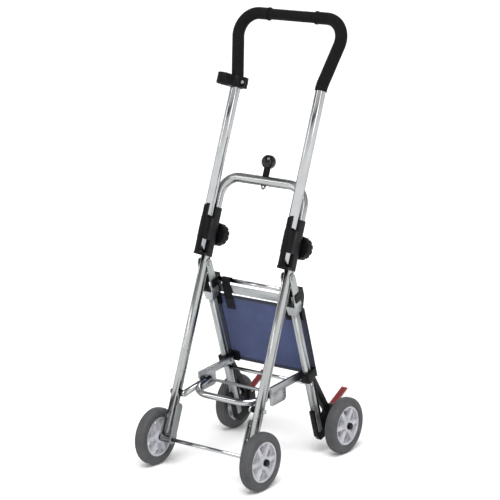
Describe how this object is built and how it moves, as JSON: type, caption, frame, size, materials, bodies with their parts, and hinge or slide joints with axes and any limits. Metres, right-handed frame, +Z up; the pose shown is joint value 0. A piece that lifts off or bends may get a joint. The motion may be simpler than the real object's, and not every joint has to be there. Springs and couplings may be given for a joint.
{
  "type": "shopping trolley frame",
  "caption": "Folding tubular shopping trolley frame on small wheels, with sliding handle, folding shelf, bag bar, back panel and brake pedals.",
  "frame": {"origin": "on the floor under the middle of the trolley, midway between the front and rear axles", "axes": "+X to the right of a person pushing it from the handle side, -Y to the front wheels, +Z up"},
  "size_m": [0.3378, 0.425, 0.9646],
  "materials": {
    "frame_metal": "satin anodised tube",
    "bright_metal": "bright plated tube and rod",
    "shelf_metal": "satin flat bar",
    "leg_metal": "satin anodised flat oval tube",
    "fastener_metal": "zinc plated pins and screws",
    "grip_foam": "dark foam sleeve",
    "ball_gloss": "polished black ball",
    "tyre_rubber": "dark solid tyre",
    "hub_plastic": "light grey moulded spoked hub",
    "pedal_plastic": "dark red moulded pedal",
    "panel_fabric": "slate blue woven cloth, dark binding",
    "strap_webbing": "black webbing",
    "fitting_metal": "grey painted plate",
    "black_plastic": "black moulded plastic"
  },
  "bodies": {
    "front_frame": {"ball_knob": "ball_gloss", "ball_nut": "fastener_metal", "ball_stem": "black_plastic", "clamp_shoes": "black_plastic", "front_axle": "bright_metal", "front_axle_caps": "black_plastic", "front_frame_tube": "frame_metal", "front_leg_fitting_left": "fitting_metal", "front_leg_fitting_right": "fitting_metal", "leg_hinge_pins": "fastener_metal", "leg_plugs": "black_plastic", "shelf_bushes": "black_plastic", "shelf_pivot_pins": "fastener_metal", "slide_bracket_left": "black_plastic", "slide_bracket_right": "black_plastic"},
    "handle": {"cane_holder": "black_plastic", "cane_holder_screw": "fastener_metal", "grip_left": "grip_foam", "grip_middle": "grip_foam", "grip_right": "grip_foam", "handle_plugs": "black_plastic", "handle_tube": "bright_metal"},
    "knob_left": {"clamp_knob_left": "black_plastic", "clamp_stud_left": "fastener_metal"},
    "knob_right": {"clamp_knob_right": "black_plastic", "clamp_stud_right": "fastener_metal"},
    "rear_frame": {"back_panel": "panel_fabric", "bag_bar": "bright_metal", "bag_hook_left": "black_plastic", "bag_hook_right": "black_plastic", "leg_block_left": "black_plastic", "leg_block_right": "black_plastic", "panel_corners": "black_plastic", "panel_stay": "leg_metal", "panel_straps": "strap_webbing", "pedal_pins": "fastener_metal", "rear_axle_caps": "black_plastic", "rear_axles": "bright_metal", "rear_cross_rod": "bright_metal", "rear_leg_fork_left": "leg_metal", "rear_leg_fork_right": "leg_metal", "rear_leg_left": "leg_metal", "rear_leg_right": "leg_metal", "shelf_rear_pins": "fastener_metal", "wheel_bracket_left": "black_plastic", "wheel_bracket_right": "black_plastic"},
    "shelf_front": {"shelf_front_frame": "bright_metal"},
    "shelf_rear": {"shelf_mid_pins": "fastener_metal", "shelf_rear_frame": "shelf_metal"},
    "wheel_front_left": {"hub_front_left": "hub_plastic", "tyre_front_left": "tyre_rubber"},
    "wheel_front_right": {"hub_front_right": "hub_plastic", "tyre_front_right": "tyre_rubber"},
    "wheel_rear_left": {"hub_rear_left": "hub_plastic", "tyre_rear_left": "tyre_rubber"},
    "wheel_rear_right": {"hub_rear_right": "hub_plastic", "tyre_rear_right": "tyre_rubber"},
    "pedal_left": {"brake_pedal_left": "pedal_plastic"},
    "pedal_right": {"brake_pedal_right": "pedal_plastic"}
  },
  "joints": [
    {"name": "handle_slide", "type": "slide", "parent": "front_frame", "child": "handle", "axis": [0, 0.3551, 0.9348], "range_m": [-0.17, 0]},
    {"name": "knob_left_turn", "type": "hinge", "parent": "front_frame", "child": "knob_left", "pos_m": [-0.11, 0.01157, 0.48785], "axis": [0, 0.9348, -0.3551], "range_deg": [0, 360]},
    {"name": "knob_right_turn", "type": "hinge", "parent": "front_frame", "child": "knob_right", "pos_m": [0.11, 0.01157, 0.48785], "axis": [0, 0.9348, -0.3551], "range_deg": [0, 360]},
    {"name": "frame_fold", "type": "hinge", "parent": "front_frame", "child": "rear_frame", "pos_m": [0, -0.01222, 0.42521], "axis": [-1, 0, 0], "range_deg": [0, 20]},
    {"name": "shelf_front_fold", "type": "hinge", "parent": "front_frame", "child": "shelf_front", "pos_m": [0, -0.11378, 0.15785], "axis": [1, 0, 0], "range_deg": [0, 65.01]},
    {"name": "shelf_rear_fold", "type": "hinge", "parent": "rear_frame", "child": "shelf_rear", "pos_m": [0, 0.06411, 0.1903], "axis": [-1, 0, 0], "range_deg": [0, 33.61]},
    {"name": "wheel_front_left_spin", "type": "hinge", "parent": "front_frame", "child": "wheel_front_left", "pos_m": [-0.139, -0.15, 0.0625], "axis": [1, 0, 0], "continuous": true},
    {"name": "wheel_front_right_spin", "type": "hinge", "parent": "front_frame", "child": "wheel_front_right", "pos_m": [0.139, -0.15, 0.0625], "axis": [1, 0, 0], "continuous": true},
    {"name": "wheel_rear_left_spin", "type": "hinge", "parent": "rear_frame", "child": "wheel_rear_left", "pos_m": [-0.149, 0.15, 0.0625], "axis": [1, 0, 0], "continuous": true},
    {"name": "wheel_rear_right_spin", "type": "hinge", "parent": "rear_frame", "child": "wheel_rear_right", "pos_m": [0.149, 0.15, 0.0625], "axis": [1, 0, 0], "continuous": true},
    {"name": "brake_left_press", "type": "hinge", "parent": "rear_frame", "child": "pedal_left", "pos_m": [-0.11, 0.148, 0.0955], "axis": [-1, 0, 0], "range_deg": [0, 12]},
    {"name": "brake_right_press", "type": "hinge", "parent": "rear_frame", "child": "pedal_right", "pos_m": [0.11, 0.148, 0.0955], "axis": [-1, 0, 0], "range_deg": [0, 12]}
  ],
  "couplings": [
    {"joint": "shelf_front_fold", "follows": "frame_fold", "ratio": 3.25},
    {"joint": "shelf_rear_fold", "follows": "frame_fold", "ratio": 1.68}
  ]
}
